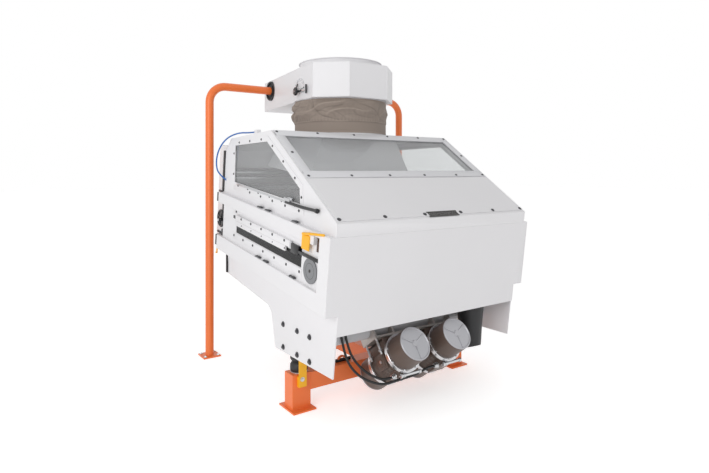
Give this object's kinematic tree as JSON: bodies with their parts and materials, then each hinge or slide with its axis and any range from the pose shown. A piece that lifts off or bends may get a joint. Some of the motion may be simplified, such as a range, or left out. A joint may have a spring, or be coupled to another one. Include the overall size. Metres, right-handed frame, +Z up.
{
  "type": "vibratory separator",
  "caption": "Vibratory separator for grain: tilted screen body with windowed hood on rubber buffers, slanted vibrating motors, cloth air sleeve and pipe portal.",
  "frame": {"origin": "centre of the bounding box at floor level", "axes": "+X to the machine's right, +Y to its rear, +Z up"},
  "size_m": [1.964, 1.8883, 2.145],
  "materials": {
    "black_plastic": "matte",
    "black_rubber": "matte",
    "blue_hose": "smooth",
    "cable_jacket": "matte",
    "clear_sheet": "clear",
    "deck_steel": "woven mesh in a steel frame",
    "grey_paint": "satin",
    "grey_plastic": "matte",
    "motor_paint": "semi-gloss",
    "orange_paint": "semi-gloss",
    "sleeve_cloth": "woven",
    "white_paint": "satin",
    "yellow_paint": "semi-gloss"
  },
  "bodies": {
    "machine": {"air_box_collar": "white_paint", "air_box_floor": "white_paint", "air_box_top": "white_paint", "air_box_walls": "white_paint", "air_hose": "blue_hose", "air_sleeve": "sleeve_cloth", "base_frame": "orange_paint", "bottom_pan": "white_paint", "buffer_front_left": "black_rubber", "buffer_front_right": "black_rubber", "buffer_rear": "black_rubber", "cross_tube": "grey_paint", "damper_quadrant": "white_paint", "front_panel": "white_paint", "front_window": "clear_sheet", "grommet_left": "black_rubber", "grommet_right": "black_rubber", "hood_front": "white_paint", "hood_rear": "white_paint", "hood_roof": "white_paint", "hood_side_left": "white_paint", "hood_side_right": "white_paint", "hose_fitting": "deck_steel", "indicator_disc_left": "grey_plastic", "indicator_disc_right": "grey_plastic", "inner_air_duct": "white_paint", "lifting_hook_left": "yellow_paint", "lifting_hook_right": "yellow_paint", "lock_strap_left": "yellow_paint", "lock_strap_right": "yellow_paint", "lower_deck": "deck_steel", "lower_side_plate_left": "white_paint", "lower_side_plate_right": "white_paint", "motor_bracket": "motor_paint", "motor_cable_left": "cable_jacket", "motor_cable_right": "cable_jacket", "motor_left": "motor_paint", "motor_right": "motor_paint", "outlet_sock": "black_rubber", "portal_frame": "orange_paint", "pull_rod_left": "black_plastic", "pull_rod_right": "black_plastic", "rear_cross_tube": "grey_paint", "rear_housing": "white_paint", "rear_seal": "black_rubber", "rear_sill": "white_paint", "roof_spigot": "white_paint", "side_frame_left": "white_paint", "side_frame_right": "white_paint", "side_window_left": "clear_sheet", "side_window_right": "clear_sheet", "slot_window_left": "clear_sheet", "slot_window_right": "clear_sheet", "upper_deck": "deck_steel"},
    "hand_wheel": {"hand_wheel": "black_plastic"},
    "damper_lever": {"damper_lever": "black_plastic"}
  },
  "joints": [
    {"name": "hand_wheel_turn", "type": "hinge", "parent": "machine", "child": "hand_wheel", "pos_m": [-0.888, 0.57458, 1.04191], "axis": [1, 0, 0], "continuous": true},
    {"name": "damper_lever_turn", "type": "hinge", "parent": "machine", "child": "damper_lever", "pos_m": [-0.48931, 0.1692, 1.936], "axis": [-0.9907, 0.1359, 0], "range_deg": [0, 90]}
  ]
}
